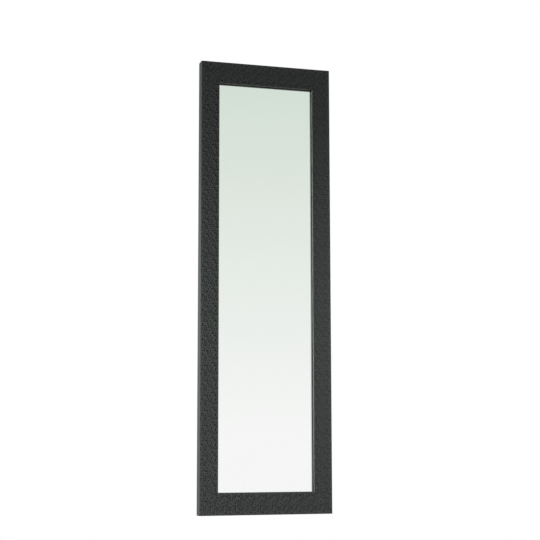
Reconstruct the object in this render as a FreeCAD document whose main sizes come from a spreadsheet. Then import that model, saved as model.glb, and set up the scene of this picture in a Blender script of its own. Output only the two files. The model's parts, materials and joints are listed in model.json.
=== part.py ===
"""Full-length wall mirror in a mitred frame of embossed black moulding.

X runs to the right as seen from the front, Z runs up and the front faces -Y. The wall is the plane
y = 0. The origin is the middle of the hanging line, the level at which two wall hooks carry the hanger
rings. All sizes are millimetres and degrees.
"""
import FreeCAD
import Part
import Sketcher
import os

from FreeCAD import Placement, Rotation, Vector

# Driving sizes: alias, value and what it is
SIZES = (
    ("frame_width", 456.0, "outer width of the frame"),
    ("frame_height", 1524.0, "outer height of the frame"),
    ("frame_depth", 40.0, "moulding from face to back"),
    ("stile_face", 62.5, "moulding width of the stiles"),
    ("rail_face", 73.0, "moulding width of the rails"),
    ("edge_round", 0.8, "round on the two front edges of the moulding"),
    ("lip_thickness", 10.0, "moulding in front of the rebate"),
    ("rebate_lap", 10.0, "width of the rebate behind the lip"),
    ("tape_thickness", 3.0, "foam tape between lip and glass"),
    ("tape_width", 6.0, "width of the foam tape"),
    ("glass_thickness", 4.0, "silvered glass"),
    ("glass_clearance", 2.0, "room round the glass in the rebate"),
    ("block_length", 40.0, "setting block along the glass"),
    ("block_inset", 60.0, "glass corner to setting block"),
    ("panel_thickness", 4.0, "hardboard back panel"),
    ("panel_clearance", 0.8, "room round the filler and the back panel"),
    ("panel_recess", 0.3, "back panel below the back of the frame"),
    ("nail_leg", 8.0, "leg of a V nail"),
    ("nail_sheet", 0.8, "sheet of a V nail"),
    ("nail_height", 12.0, "height of a V nail"),
    ("nail_stand", 0.1, "V nail above the back of the frame"),
    ("nail_clearance", 0.05, "V nail in its slot"),
    ("nail_outer_share", 0.22, "outer V nail along the mitre"),
    ("nail_inner_share", 0.58, "inner V nail along the mitre"),
    ("wall_gap", 7.0, "back of the frame to the wall"),
    ("hang_drop", 250.0, "top of the frame to the hanging line"),
    ("button_end", 150.0, "end of a stile to its first turn button"),
    ("button_inset", 12.0, "rebate edge to the screw of a turn button"),
    ("button_reach", 18.0, "screw of a turn button to the centre of its round tip"),
    ("button_width", 12.0, "width of a turn button"),
    ("button_sheet", 1.2, "sheet of a turn button"),
    ("button_hole", 4.0, "screw hole of a turn button"),
    ("button_lift", 0.2, "turn button above the frame, and below its screw head"),
    ("screw_shank", 3.0, "diameter of a screw shank"),
    ("screw_length", 16.0, "screw below its head"),
    ("screw_tip", 4.0, "taper at the tip of a screw"),
    ("screw_head", 7.0, "diameter of a screw head"),
    ("screw_head_height", 2.2, "height of a screw head"),
    ("pilot_clearance", 0.1, "screw in its pilot hole, all round and past the tip"),
    ("strap_width", 15.0, "width of a hanger strap"),
    ("strap_length", 42.0, "ring axis to the centre of the strap's round end"),
    ("strap_sheet", 1.2, "sheet of a hanger strap"),
    ("strap_hole", 4.0, "screw hole of a hanger strap"),
    ("strap_first_hole", 15.0, "ring axis to the nearer screw"),
    ("strap_second_hole", 38.0, "ring axis to the further screw"),
    ("strap_across", 26.0, "outer edge of the stile to the middle of the strap"),
    ("ring_wire", 3.0, "wire of a hanger ring"),
    ("ring_clearance", 0.2, "wire in the strap's fold, all round"),
    ("ring_width", 24.0, "hanger ring, middle to middle of the wire"),
    ("ring_corner", 4.0, "bend at the ends of the ring's bar"),
    ("ring_leg", 4.0, "straight legs of the ring"),
    ("ring_lean", 2.6, "ring tilted towards the frame as it hangs"),
    ("bumper_base", 16.0, "wall bumper at the frame"),
    ("bumper_face", 13.0, "wall bumper at the wall"),
    ("bumper_across", 20.0, "outer edge of the stile to a bumper"),
    ("bumper_along", 50.0, "end of the stile to a bumper"),
)

# Turn buttons on each member
STILE_BUTTONS = 4
RAIL_BUTTONS = 1

# Rounded-off head of a screw: flat top and straight rim, as shares of its radius and height
HEAD_TOP_SHARE = 0.6
HEAD_RIM_SHARE = 0.4

# How far the waste cut off at a mitre reaches past the member, as a share of the mitre
MITRE_SPARE = 0.2

# Levels and planes of the frame, as expressions on the sheet
TOP = "Sizes.hang_drop"
BOTTOM = "(Sizes.hang_drop - Sizes.frame_height)"
HALF = "(Sizes.frame_width / 2)"
BACK = "(-Sizes.wall_gap)"
FACE = "(-Sizes.wall_gap - Sizes.frame_depth)"
GLASS_FRONT = f"({FACE} + Sizes.lip_thickness + Sizes.tape_thickness)"
GLASS_BACK = f"({GLASS_FRONT} + Sizes.glass_thickness)"
PANEL_BACK = f"({BACK} - Sizes.panel_recess)"
PANEL_FRONT = f"({PANEL_BACK} - Sizes.panel_thickness)"

# Edges of the rebate, which the glass, the filler and the panel lie within
REBATE_SIDE = f"({HALF} - Sizes.stile_face + Sizes.rebate_lap)"
REBATE_TOP = f"({TOP} - Sizes.rail_face + Sizes.rebate_lap)"
REBATE_BOTTOM = f"({BOTTOM} + Sizes.rail_face - Sizes.rebate_lap)"

# Fold of a hanger strap round the bar of its ring, which lies on the back of the frame
FOLD_INNER = "(Sizes.ring_wire / 2 + Sizes.ring_clearance)"
FOLD_OUTER = f"({FOLD_INNER} + Sizes.strap_sheet)"
RING_AXIS_Y = f"({BACK} + {FOLD_OUTER})"
RING_RISE = "(Sizes.ring_corner + Sizes.ring_leg + Sizes.ring_width / 2 - Sizes.ring_wire / 2)"
RING_AXIS_Z = f"(-{RING_RISE})"

# Members in order round the frame: own face width, face width met at the corners, length, turn about Y
STILE, RAIL = "Sizes.stile_face", "Sizes.rail_face"
MEMBERS = {
    "left_stile": (STILE, RAIL, "Sizes.frame_height", 0),
    "top_rail": (RAIL, STILE, "Sizes.frame_width", 90),
    "right_stile": (STILE, RAIL, "Sizes.frame_height", 180),
    "bottom_rail": (RAIL, STILE, "Sizes.frame_width", 270),
}
TURN_AXIS = Vector(0, 1, 0)

doc = FreeCAD.newDocument("WallMirror")
pieces = []


def make_sheet():
    """Spreadsheet with one aliased row for each driving size."""
    sheet = doc.addObject("Spreadsheet::Sheet", "Sizes")
    for row, (alias, value, note) in enumerate(SIZES, start=1):
        sheet.set(f"A{row}", note)
        sheet.set(f"B{row}", str(value))
        sheet.setAlias(f"B{row}", alias)
    doc.recompute()


def bind(item, **sizes):
    """Binds properties to expressions; two underscores in a name stand for a dot."""
    for name, expression in sizes.items():
        item.setExpression(name.replace("__", "."), expression)


def place(item, x, y, z, turn=0, axis=TURN_AXIS):
    """Turns an object about an axis and binds the place of its origin."""
    item.Placement = Placement(Vector(), Rotation(axis, turn))
    bind(item, Placement__Base__x=x, Placement__Base__y=y, Placement__Base__z=z)


def keep(item, label):
    """Marks an object as a finished piece under its own label."""
    item.Label = label
    pieces.append(item)


def on_member(member, across, along):
    """World x and z of a point given across a member, from its outer edge, and along it, from its start."""
    return {
        "left_stile": (f"(-{HALF} + {across})", f"({BOTTOM} + {along})"),
        "top_rail": (f"(-{HALF} + {along})", f"({TOP} - {across})"),
        "right_stile": (f"({HALF} - {across})", f"({TOP} - {along})"),
        "bottom_rail": (f"({HALF} - {along})", f"({BOTTOM} + {across})"),
    }[member]


def new_sketch(body, name, plane, level="0"):
    """Sketch on one of the body's own planes, shifted along the plane's normal."""
    sketch = body.newObject("Sketcher::SketchObject", name)
    origin_plane = next(item for item in body.Origin.OriginFeatures if item.Role == plane)
    sketch.AttachmentSupport = [(origin_plane, "")]
    sketch.MapMode = "FlatFace"
    bind(sketch, AttachmentOffset__Base__z=level)
    return sketch


def pin(sketch, geometry, point, x, y):
    """Binds one point of a sketch to a pair of expressions."""
    for kind, expression in (("DistanceX", x), ("DistanceY", y)):
        index = sketch.addConstraint(Sketcher.Constraint(kind, -1, 1, geometry, point, 1.0))
        sketch.setExpression(f"Constraints[{index}]", expression)


def draw_outline(sketch, corners):
    """Closed straight outline whose corners are pairs of expressions, drawn roughly and then pinned."""
    first = sketch.GeometryCount
    count = len(corners)
    for step in range(count):
        start = Vector(step, step * step, 0)
        end = Vector(step + 1, (step + 1) ** 2, 0)
        sketch.addGeometry(Part.LineSegment(start, end))
    for step, (x, y) in enumerate(corners):
        following = first + (step + 1) % count
        sketch.addConstraint(Sketcher.Constraint("Coincident", first + step, 2, following, 1))
        pin(sketch, first + step, 1, x, y)


def draw_circle(sketch, x, y, radius):
    """Circle whose centre and radius are expressions."""
    circle = sketch.addGeometry(Part.Circle(Vector(1, 1, 0), Vector(0, 0, 1), 1))
    pin(sketch, circle, 3, x, y)
    index = sketch.addConstraint(Sketcher.Constraint("Radius", circle, 1.0))
    sketch.setExpression(f"Constraints[{index}]", radius)


def pad(body, sketch, length, backwards=False):
    """Raises a sketch along its normal, or against it."""
    feature = body.newObject("PartDesign::Pad", "Pad")
    feature.Profile = sketch
    feature.Reversed = backwards
    bind(feature, Length=length)
    return feature


def pocket(body, sketch, depth=None):
    """Cuts a sketch on the back of a piece into it to a depth, or right through without one."""
    feature = body.newObject("PartDesign::Pocket", "Pocket")
    feature.Profile = sketch
    if depth is None:
        feature.Type = "ThroughAll"
        feature.Midplane = True
    else:
        feature.Reversed = True
        bind(feature, Length=depth)
    return feature


def box(name, low, high):
    """Box between two corners given as expressions."""
    item = doc.addObject("Part::Box", name)
    sides = [f"{top} - {bottom}" for bottom, top in zip(low, high)]
    bind(item, Length=sides[0], Width=sides[1], Height=sides[2])
    place(item, *low)
    return item


def cylinder(name, radius, length, base, turn=0, axis=TURN_AXIS):
    """Cylinder that starts at a base point; its axis is Z before the turn."""
    item = doc.addObject("Part::Cylinder", name)
    bind(item, Radius=radius, Height=length)
    place(item, *base, turn, axis)
    return item


def join(kind, name, items):
    """Fuses objects, or collects them as separate solids."""
    item = doc.addObject(kind, name)
    if kind == "Part::Compound":
        item.Links = items
    else:
        item.Shapes = items
    return item


def cut(name, base, tools):
    """Takes one or more tool objects away from a base object."""
    item = doc.addObject("Part::Cut", name)
    item.Base = base
    item.Tool = tools[0] if len(tools) == 1 else join("Part::MultiFuse", name + "_tools", tools)
    return item


def button_stations(member):
    """Places of the turn buttons along a member."""
    if member.endswith("rail"):
        return [f"({index} * Sizes.frame_width / {RAIL_BUTTONS + 1})" for index in range(1, RAIL_BUTTONS + 1)]
    step = f"(Sizes.frame_height - 2 * Sizes.button_end) / {STILE_BUTTONS - 1}"
    return [f"(Sizes.button_end + {index} * {step})" for index in range(STILE_BUTTONS)]


def button_across(own):
    """Distance of the turn buttons' screws from the outer edge of a member."""
    return f"({own} - Sizes.rebate_lap - Sizes.button_inset)"


def hanger_stations(member):
    """Places of the hanger strap's two screws along a stile, and none along a rail."""
    if member.endswith("rail"):
        return []
    levels = [f"({RING_AXIS_Z} - Sizes.strap_{order}_hole)" for order in ("first", "second")]
    if member == "left_stile":
        return [f"({level} - {BOTTOM})" for level in levels]
    return [f"({TOP} - {level})" for level in levels]


def screw_places(member):
    """Screw points of a member, as pairs across and along it."""
    own = MEMBERS[member][0]
    points = [(button_across(own), along) for along in button_stations(member)]
    return points + [("Sizes.strap_across", along) for along in hanger_stations(member)]


def nail_outline(across, along, gap):
    """Right-angled V nail with its corner on the mitre and one leg along each member."""
    low_x, low_z = f"{across} - {gap}", f"{along} - {gap}"
    bend_x, bend_z = f"{across} + Sizes.nail_sheet + {gap}", f"{along} + Sizes.nail_sheet + {gap}"
    far_x, far_z = f"{across} + Sizes.nail_leg + {gap}", f"{along} + Sizes.nail_leg + {gap}"
    along_rail = [(low_x, low_z), (far_x, low_z), (far_x, bend_z)]
    along_stile = [(bend_x, bend_z), (bend_x, far_z), (low_x, far_z)]
    return along_rail + along_stile


def flip(corners, length):
    """Outline measured from the other end of a member."""
    return [(x, f"{length} - ({z})") for x, z in corners]


def lies_along_face(edge):
    """True for an edge that runs the length of the padded moulding on its face plane."""
    start, end = [vertex.Point for vertex in edge.Vertexes]
    offsets = (start.y, end.y, end.x - start.x)
    return all(abs(offset) < Part.Precision.confusion() for offset in offsets)


def make_member(member):
    """Mitred length of rebated moulding with V-nail slots and pilot holes in its back.

    The profile lies across the member: x runs from the outer edge inwards and y from the face to the back.
    """
    own, other, length, turn = MEMBERS[member]
    body = doc.addObject("PartDesign::Body", member)
    profile = new_sketch(body, "Profile", "XY_Plane")
    rebate = f"{own} - Sizes.rebate_lap"
    draw_outline(profile, [
        ("0", "0"), (own, "0"), (own, "Sizes.lip_thickness"), (rebate, "Sizes.lip_thickness"),
        (rebate, "Sizes.frame_depth"), ("0", "Sizes.frame_depth")])
    bar = pad(body, profile, length)
    doc.recompute()

    # The two long edges of the face are rounded
    edges = enumerate(bar.Shape.Edges, start=1)
    long_edges = [f"Edge{index}" for index, edge in edges if lies_along_face(edge)]
    rounded = body.newObject("PartDesign::Fillet", "FrontEdges")
    rounded.Base = (bar, long_edges)
    bind(rounded, Radius="Sizes.edge_round")

    # The mitre runs from the outer corner to the inner one, and the waste past it is cut off
    waste = new_sketch(body, "MitreWaste", "XZ_Plane")
    before, past = -MITRE_SPARE, 1 + MITRE_SPARE
    triangle = [(f"{across} * {own}", f"{along} * {other}")
                for across, along in ((before, before), (past, before), (past, past))]
    draw_outline(waste, triangle)
    draw_outline(waste, flip(triangle, length))
    pocket(body, waste)

    slots = new_sketch(body, "NailSlots", "XZ_Plane", "-Sizes.frame_depth")
    for share in ("Sizes.nail_outer_share", "Sizes.nail_inner_share"):
        slot = nail_outline(f"{share} * {own}", f"{share} * {other}", "Sizes.nail_clearance")
        draw_outline(slots, slot)
        draw_outline(slots, flip(slot, length))
    pocket(body, slots, "Sizes.nail_height - Sizes.nail_stand + Sizes.nail_clearance")

    pilots = new_sketch(body, "PilotHoles", "XZ_Plane", "-Sizes.frame_depth")
    for across, along in screw_places(member):
        draw_circle(pilots, across, along, "Sizes.screw_shank / 2 + Sizes.pilot_clearance")
    pocket(body, pilots, "Sizes.screw_length + Sizes.pilot_clearance")

    x, z = on_member(member, "0", "0")
    place(body, x, FACE, z, turn)
    keep(body, member)


def make_v_nails():
    """Two V nails in the back of each mitre, at the start of each member."""
    nails = []
    for member, (own, other, _, turn) in MEMBERS.items():
        for order in ("outer", "inner"):
            nail = doc.addObject("PartDesign::Body", f"{member}_{order}_nail")
            sketch = new_sketch(nail, "Bend", "XZ_Plane")
            draw_outline(sketch, nail_outline("0", "0", "0"))
            pad(nail, sketch, "Sizes.nail_height")
            share = f"Sizes.nail_{order}_share"
            x, z = on_member(member, f"{share} * {own}", f"{share} * {other}")
            place(nail, x, f"{BACK} + Sizes.nail_stand", z, turn)
            nails.append(nail)
    keep(join("Part::Compound", "VNails", nails), "v_nails")


def make_glass_pack():
    """Tape, glass, setting blocks, filler and back panel, from the lip to the back."""
    side, top, bottom = REBATE_SIDE, REBATE_TOP, REBATE_BOTTOM
    tape_back, tape_front = GLASS_FRONT, f"({GLASS_FRONT} - Sizes.tape_thickness)"
    room = "Sizes.glass_clearance"
    edge, head, foot = f"({side} - {room})", f"({top} - {room})", f"({bottom} + {room})"
    tape = "Sizes.tape_width"
    tapes = {
        "left": (f"-{edge}", foot, f"(-{edge} + {tape})", head),
        "right": (f"({edge} - {tape})", foot, edge, head),
        "top": (f"(-{edge} + {tape})", f"({head} - {tape})", f"({edge} - {tape})", head),
        "bottom": (f"(-{edge} + {tape})", foot, f"({edge} - {tape})", f"({foot} + {tape})"),
    }
    for name, (x_low, z_low, x_high, z_high) in tapes.items():
        strip = box(f"Tape_{name}", (x_low, tape_front, z_low), (x_high, tape_back, z_high))
        keep(strip, f"glazing_tape_{name}")

    glass = box("Glass", (f"-{edge}", GLASS_FRONT, foot), (edge, GLASS_BACK, head))
    keep(glass, "mirror_glass")

    near, far = f"({edge} - Sizes.block_inset)", f"({edge} - Sizes.block_inset - Sizes.block_length)"
    for name, low, high in (("left", f"-{near}", f"-{far}"), ("right", far, near)):
        block = box(f"Block_{name}", (low, GLASS_FRONT, bottom), (high, GLASS_BACK, foot))
        keep(block, f"setting_block_{name}")

    slack = "Sizes.panel_clearance"
    low_x, high_x = f"(-{side} + {slack})", f"({side} - {slack})"
    low_z, high_z = f"({bottom} + {slack})", f"({top} - {slack})"
    filler = box("Filler", (low_x, GLASS_BACK, low_z), (high_x, PANEL_FRONT, high_z))
    keep(filler, "filler_board")
    panel = box("Panel", (low_x, PANEL_FRONT, low_z), (high_x, PANEL_BACK, high_z))
    keep(panel, "back_panel")


def draw_rounded_bar(sketch, reach, width):
    """Bar with round ends, from the origin along x; the start values are the sizes of the sheet."""
    values = {alias: value for alias, value, _ in SIZES}
    length, radius = values[reach], values[width] / 2
    up, flat = Vector(0, radius, 0), Vector(radius, 0, 0)
    tip = Vector(length, 0, 0)
    start_arc = sketch.addGeometry(Part.Arc(up, -flat, -up))
    low_line = sketch.addGeometry(Part.LineSegment(-up, tip - up))
    tip_arc = sketch.addGeometry(Part.Arc(tip - up, tip + flat, tip + up))
    high_line = sketch.addGeometry(Part.LineSegment(tip + up, up))
    joints = ((start_arc, 2, low_line, 1), (low_line, 2, tip_arc, 1), (tip_arc, 2, high_line, 1),
              (high_line, 2, start_arc, 1))
    for joint in joints:
        sketch.addConstraint(Sketcher.Constraint("Tangent", *joint))
    sketch.addConstraint(Sketcher.Constraint("Coincident", start_arc, 3, -1, 1))
    sketch.addConstraint(Sketcher.Constraint("PointOnObject", tip_arc, 3, -1))
    sketch.addConstraint(Sketcher.Constraint("Equal", start_arc, tip_arc))
    round_end = sketch.addConstraint(Sketcher.Constraint("Radius", start_arc, radius))
    sketch.setExpression(f"Constraints[{round_end}]", f"Sizes.{width} / 2")
    span = sketch.addConstraint(Sketcher.Constraint("DistanceX", start_arc, 3, tip_arc, 3, length))
    sketch.setExpression(f"Constraints[{span}]", f"Sizes.{reach}")


def make_screw(name, x, y, z):
    """Round-head wood screw along Y: its head stands on the plane at y and its tip points to the front."""
    screw = doc.addObject("PartDesign::Body", name)
    sketch = new_sketch(screw, "HalfSection", "XY_Plane")
    head, tall = "Sizes.screw_head / 2", "Sizes.screw_head_height"
    shank, long = "Sizes.screw_shank / 2", "Sizes.screw_length"
    draw_outline(sketch, [
        ("0", tall), (f"{HEAD_TOP_SHARE} * {head}", tall), (head, f"{HEAD_RIM_SHARE} * {tall}"), (head, "0"),
        (shank, "0"),
        (shank, f"Sizes.screw_tip - {long}"), ("0", f"-{long}")])
    turned = screw.newObject("PartDesign::Revolution", "Turned")
    turned.Profile = sketch
    turned.ReferenceAxis = (sketch, ["V_Axis"])
    turned.Angle = 360
    place(screw, x, y, z)
    return screw


def make_turn_buttons():
    """Turn buttons on the back of the frame, each under its screw, with their tips over the back panel."""
    screws = []
    lift, sheet = "Sizes.button_lift", "Sizes.button_sheet"
    for member, (own, _, _, turn) in MEMBERS.items():
        stations = button_stations(member)
        for number, along in enumerate(stations, start=1):
            x, z = on_member(member, button_across(own), along)
            side = member.split("_")[0]
            suffix = f"_{number}" if len(stations) > 1 else ""
            label = f"turn_button_{side}{suffix}"
            button = doc.addObject("PartDesign::Body", label)
            plate = new_sketch(button, "Plate", "XZ_Plane")
            draw_rounded_bar(plate, "button_reach", "button_width")
            draw_circle(plate, "0", "0", "Sizes.button_hole / 2")
            pad(button, plate, sheet, backwards=True)
            place(button, x, f"{BACK} + {lift}", z, turn)
            keep(button, label)
            screws.append(make_screw(f"{label}_screw", x, f"{BACK} + 2 * {lift} + {sheet}", z))
    keep(join("Part::Compound", "ButtonScrews", screws), "turn_button_screws")


def make_hanger_strap(side, x):
    """Steel strap, flat on the stile, with a round end, two screw holes and a fold round the ring's bar."""
    sheet, half = "Sizes.strap_sheet", "(Sizes.strap_width / 2)"
    end_z = f"({RING_AXIS_Z} - Sizes.strap_length)"
    low = (f"({x} - {half})", BACK, end_z)
    high = (f"({x} + {half})", f"({BACK} + {sheet})", RING_AXIS_Z)
    plate = box(f"StrapPlate_{side}", low, high)
    backwards, sideways = Vector(1, 0, 0), Vector(0, 1, 0)
    end = cylinder(f"StrapEnd_{side}", half, sheet, (x, BACK, end_z), -90, backwards)
    bar_start = (f"({x} - {half})", RING_AXIS_Y, RING_AXIS_Z)
    fold = cylinder(f"StrapFold_{side}", FOLD_OUTER, "Sizes.strap_width", bar_start, 90, sideways)
    blank = join("Part::MultiFuse", f"StrapBlank_{side}", [plate, end, fold])
    bore = cylinder(f"StrapBore_{side}", FOLD_INNER, "Sizes.strap_width", bar_start, 90, sideways)
    tools = [bore]
    for order in ("first", "second"):
        hole_z = f"({RING_AXIS_Z} - Sizes.strap_{order}_hole)"
        name = f"StrapHole_{side}_{order}"
        tools.append(cylinder(name, "Sizes.strap_hole / 2", sheet, (x, BACK, hole_z), -90, backwards))
    keep(cut(f"Strap_{side}", blank, tools), f"{side}_hanger_strap")


def torus_piece(name, bend, sweep, x, z, start):
    """Stretch of bent ring wire in the ring's own plane, swept from a start angle about its centre."""
    item = doc.addObject("Part::Torus", name)
    item.Angle3 = sweep
    bind(item, Radius1=bend, Radius2="Sizes.ring_wire / 2")
    upright = Rotation(Vector(1, 0, 0), 90)
    item.Placement = Placement(Vector(), upright.multiply(Rotation(Vector(0, 0, 1), start)))
    bind(item, Placement__Base__x=x, Placement__Base__z=z)
    return item


def make_hanger_ring(side, x):
    """D-ring of round wire: a bar in the strap's fold, two bends, two short legs and a half-round bow."""
    wire, bend, leg = "Sizes.ring_wire / 2", "Sizes.ring_corner", "Sizes.ring_leg"
    half = "(Sizes.ring_width / 2)"
    bar_length = f"Sizes.ring_width - 2 * {bend}"
    bar = cylinder(f"RingBar_{side}", wire, bar_length, (f"-({half} - {bend})", "0", "0"), 90)
    runs = [bar]
    for name, sign, start in (("near", "-", 180), ("far", "", 270)):
        runs.append(torus_piece(f"RingBend_{side}_{name}", bend, 90, f"{sign}({half} - {bend})", bend, start))
        runs.append(cylinder(f"RingLeg_{side}_{name}", wire, leg, (f"{sign}{half}", "0", bend)))
    runs.append(torus_piece(f"RingBow_{side}", half, 180, "0", f"{bend} + {leg}", 0))
    ring = join("Part::MultiFuse", f"Ring_{side}", runs)
    place(ring, x, RING_AXIS_Y, RING_AXIS_Z, 0, Vector(1, 0, 0))
    bind(ring, Placement__Rotation__Angle="Sizes.ring_lean")
    keep(ring, f"{side}_hanger_ring")


def make_hangers():
    """A strap, a ring and two screws on the back of each stile."""
    screws = []
    for side, member in (("left", "left_stile"), ("right", "right_stile")):
        x, _ = on_member(member, "Sizes.strap_across", "0")
        make_hanger_strap(side, x)
        make_hanger_ring(side, x)
        for order in ("first", "second"):
            z = f"({RING_AXIS_Z} - Sizes.strap_{order}_hole)"
            screws.append(make_screw(f"{side}_strap_{order}_screw", x, f"{BACK} + Sizes.strap_sheet", z))
    keep(join("Part::Compound", "HangerScrews", screws), "hanger_screws")


def make_wall_bumpers():
    """Tapered rubber bumpers near the ends of the stiles, between the frame and the wall."""
    for member in ("left_stile", "right_stile"):
        side = member.split("_")[0]
        start, far = ("bottom", "top") if side == "left" else ("top", "bottom")
        near_end = "Sizes.bumper_along"
        for end, along in ((start, near_end), (far, f"(Sizes.frame_height - {near_end})")):
            x, z = on_member(member, "Sizes.bumper_across", along)
            bumper = doc.addObject("Part::Cone", f"Bumper_{end}_{side}")
            bind(bumper, Radius1="Sizes.bumper_base / 2", Radius2="Sizes.bumper_face / 2")
            bind(bumper, Height="Sizes.wall_gap")
            place(bumper, x, BACK, z, -90, Vector(1, 0, 0))
            keep(bumper, f"wall_bumper_{end}_{side}")


def check_document():
    """Stops the build if an object failed or a piece has no valid shape."""
    for item in doc.Objects:
        if "Invalid" in item.State or "Error" in item.State:
            raise RuntimeError(f"{item.Label} failed: {item.State}")
    for piece in pieces:
        if piece.Shape.isNull() or not piece.Shape.isValid():
            raise RuntimeError(f"{piece.Label} has no valid shape")


def main():
    make_sheet()
    for member in MEMBERS:
        make_member(member)
    make_v_nails()
    make_glass_pack()
    make_turn_buttons()
    make_hangers()
    make_wall_bumpers()
    doc.recompute()
    check_document()
    os.makedirs("parts", exist_ok=True)
    for piece in pieces:
        piece.Shape.exportStep(f"parts/{piece.Label}.step")
        print(f"{piece.Label}: {len(piece.Shape.Solids)} solid, {piece.Shape.Volume:.1f} mm3")


main()
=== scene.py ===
"""Full-length wall mirror in a mitred black frame: its looks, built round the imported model.

X runs to the right as seen from the front, Z runs up and the front faces -Y. The wall is the plane y = 0.
Blender works in metres; sizes are written in millimetres and multiplied by MM.
"""
import json
import math
from functools import partial

import bpy
import numpy as np
from bpy.props import FloatProperty, FloatVectorProperty, PointerProperty
from mathutils import Euler, Matrix, Vector


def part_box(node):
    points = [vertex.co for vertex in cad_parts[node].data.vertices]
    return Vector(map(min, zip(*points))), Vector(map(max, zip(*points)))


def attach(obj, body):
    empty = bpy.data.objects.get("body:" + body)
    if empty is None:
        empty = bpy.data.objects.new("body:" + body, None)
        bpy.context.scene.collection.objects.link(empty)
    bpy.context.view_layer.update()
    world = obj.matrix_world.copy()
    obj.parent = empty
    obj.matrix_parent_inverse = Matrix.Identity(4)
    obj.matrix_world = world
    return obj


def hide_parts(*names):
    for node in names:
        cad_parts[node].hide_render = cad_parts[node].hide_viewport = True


bl_info = {
    "name": "Wall Mirror",
    "version": (1, 0, 0),
    "blender": (4, 5, 0),
    "location": "View3D > Sidebar > Wall Mirror",
    "description": "Builds a full-length wall mirror with its embossed frame and hanging hardware",
    "category": "Object",
}

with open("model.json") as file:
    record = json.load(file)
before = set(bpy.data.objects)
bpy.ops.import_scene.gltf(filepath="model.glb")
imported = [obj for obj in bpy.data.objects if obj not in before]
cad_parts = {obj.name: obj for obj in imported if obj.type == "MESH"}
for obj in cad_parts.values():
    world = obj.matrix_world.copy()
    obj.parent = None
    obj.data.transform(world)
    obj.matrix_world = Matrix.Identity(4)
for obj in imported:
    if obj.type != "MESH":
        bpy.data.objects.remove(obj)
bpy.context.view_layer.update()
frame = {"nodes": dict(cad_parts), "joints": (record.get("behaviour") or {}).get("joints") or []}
MM = 0.001

# The frame's edges, planes and moulding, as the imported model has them
LEFT_STILE, RIGHT_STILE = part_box("left_stile"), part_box("right_stile")
TOP_RAIL, BOTTOM_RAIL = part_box("top_rail"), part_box("bottom_rail")
LEFT, RIGHT = LEFT_STILE[0].x, RIGHT_STILE[1].x
BOTTOM, TOP = BOTTOM_RAIL[0].z, TOP_RAIL[1].z
FACE, BACK = LEFT_STILE[0].y, LEFT_STILE[1].y
STILE_FACE, RAIL_FACE = LEFT_STILE[1].x - LEFT, TOP - TOP_RAIL[0].z
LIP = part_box("glazing_tape_left")[0].y - FACE
LAP = BOTTOM_RAIL[1].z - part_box("setting_block_left")[0].z
PIVOTS = {joint["child"]: Vector(joint["pos_m"]) for joint in frame["joints"]}

# Members in order round the frame: own and met face width, length, start corner, ways across and along
MEMBERS = {
    "left_stile": (STILE_FACE, RAIL_FACE, TOP - BOTTOM, (LEFT, BOTTOM), (1, 0), (0, 1)),
    "top_rail": (RAIL_FACE, STILE_FACE, RIGHT - LEFT, (LEFT, TOP), (0, -1), (1, 0)),
    "right_stile": (STILE_FACE, RAIL_FACE, TOP - BOTTOM, (RIGHT, TOP), (-1, 0), (0, -1)),
    "bottom_rail": (RAIL_FACE, STILE_FACE, RIGHT - LEFT, (RIGHT, BOTTOM), (0, 1), (-1, 0)),
}

# Grid of the embossed face, steps of the small rounds, and the angle past which an edge is drawn sharp
CELL_ACROSS, CELL_ALONG = 1.15 * MM, 1.2 * MM
ROUND_STEPS = 5
SHARP_EDGE = math.radians(40)

# The embossing roller: rows and columns of pits in one turn, and how far chance moves and weakens them
ROLLER_ROWS, ROLLER_COLUMNS = 10, 7
ROLLER_SEED = 11
PIT_STRAY = 0.24
PIT_WEAKEST = 0.15
EMBOSS_MARGIN = 0.3 * MM
EMBOSS_FADE = 1.5 * MM

# Steps round the turned and bent hardware, and the thickness of its sheet metal
TURN_STEPS = 72
WIRE_STEPS = 20
BEND_STEPS = 24
BUTTON_SHEET, STRAP_SHEET = 1.2 * MM, 1.2 * MM

# The floor and the ground beyond it as the mirror shows them; both come out alike, because the glass's own
# reflections dim the ground a little
MIRRORED_FLOOR, MIRRORED_GROUND = "E2E9E4", "E9F1EC"

# White mixed into the floor near the object, and where it starts to rise and is full, in floor radii
FLOOR_WHITE, FLOOR_NEAR, FLOOR_FAR = 0.8, 0.3, 0.95

# Studio walls by elevation in degrees: the one in front that lights the object, what the mirror shows of it,
# and the one behind the object, pale with a grey band at eye level that the sides reflect
FRONT_WALL = (
    (-90, "808080"), (-40, "707070"), (-14, "606060"), (-8, "B0B0B0"), (-4, "FBFBFB"), (0.5, "FBFBFB"),
    (15.2, "D9E4DA"), (17.2, "C4CEC5"), (19.5, "5A5D58"), (27, "2A2B29"), (90, "1C1D1C"))
MIRRORED_WALL = (
    (-90, MIRRORED_GROUND), (-14, MIRRORED_GROUND), (-4, "FBFBFB"), (0.5, "FBFBFB"), (15.2, "D9E4DA"),
    (90, "B9C6BB"))
REAR_WALL = (
    (-90, "C0C0C0"), (-40, "DCDCDC"), (-14, "DCDCDC"), (-6, "909090"), (-1.5, "808080"), (2, "808080"),
    (5, "949494"), (8.5, "C2C2C2"), (15.2, "B0B0B0"), (35, "E4E4E4"), (60, "E4E4E4"), (90, "C0C0C0"))

# The wall in front fades into the one behind between these shares of y in the direction
REAR_START, REAR_FULL = -0.2, 0.5

# Soft box behind the camera: its turn to the left, its rise, the radii of its core and rim, and its power
BOX_TURN, BOX_RISE, BOX_CORE, BOX_RIM = (math.radians(degrees) for degrees in (18, 8, 5, 14))
BOX_POWER = 2.6

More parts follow.
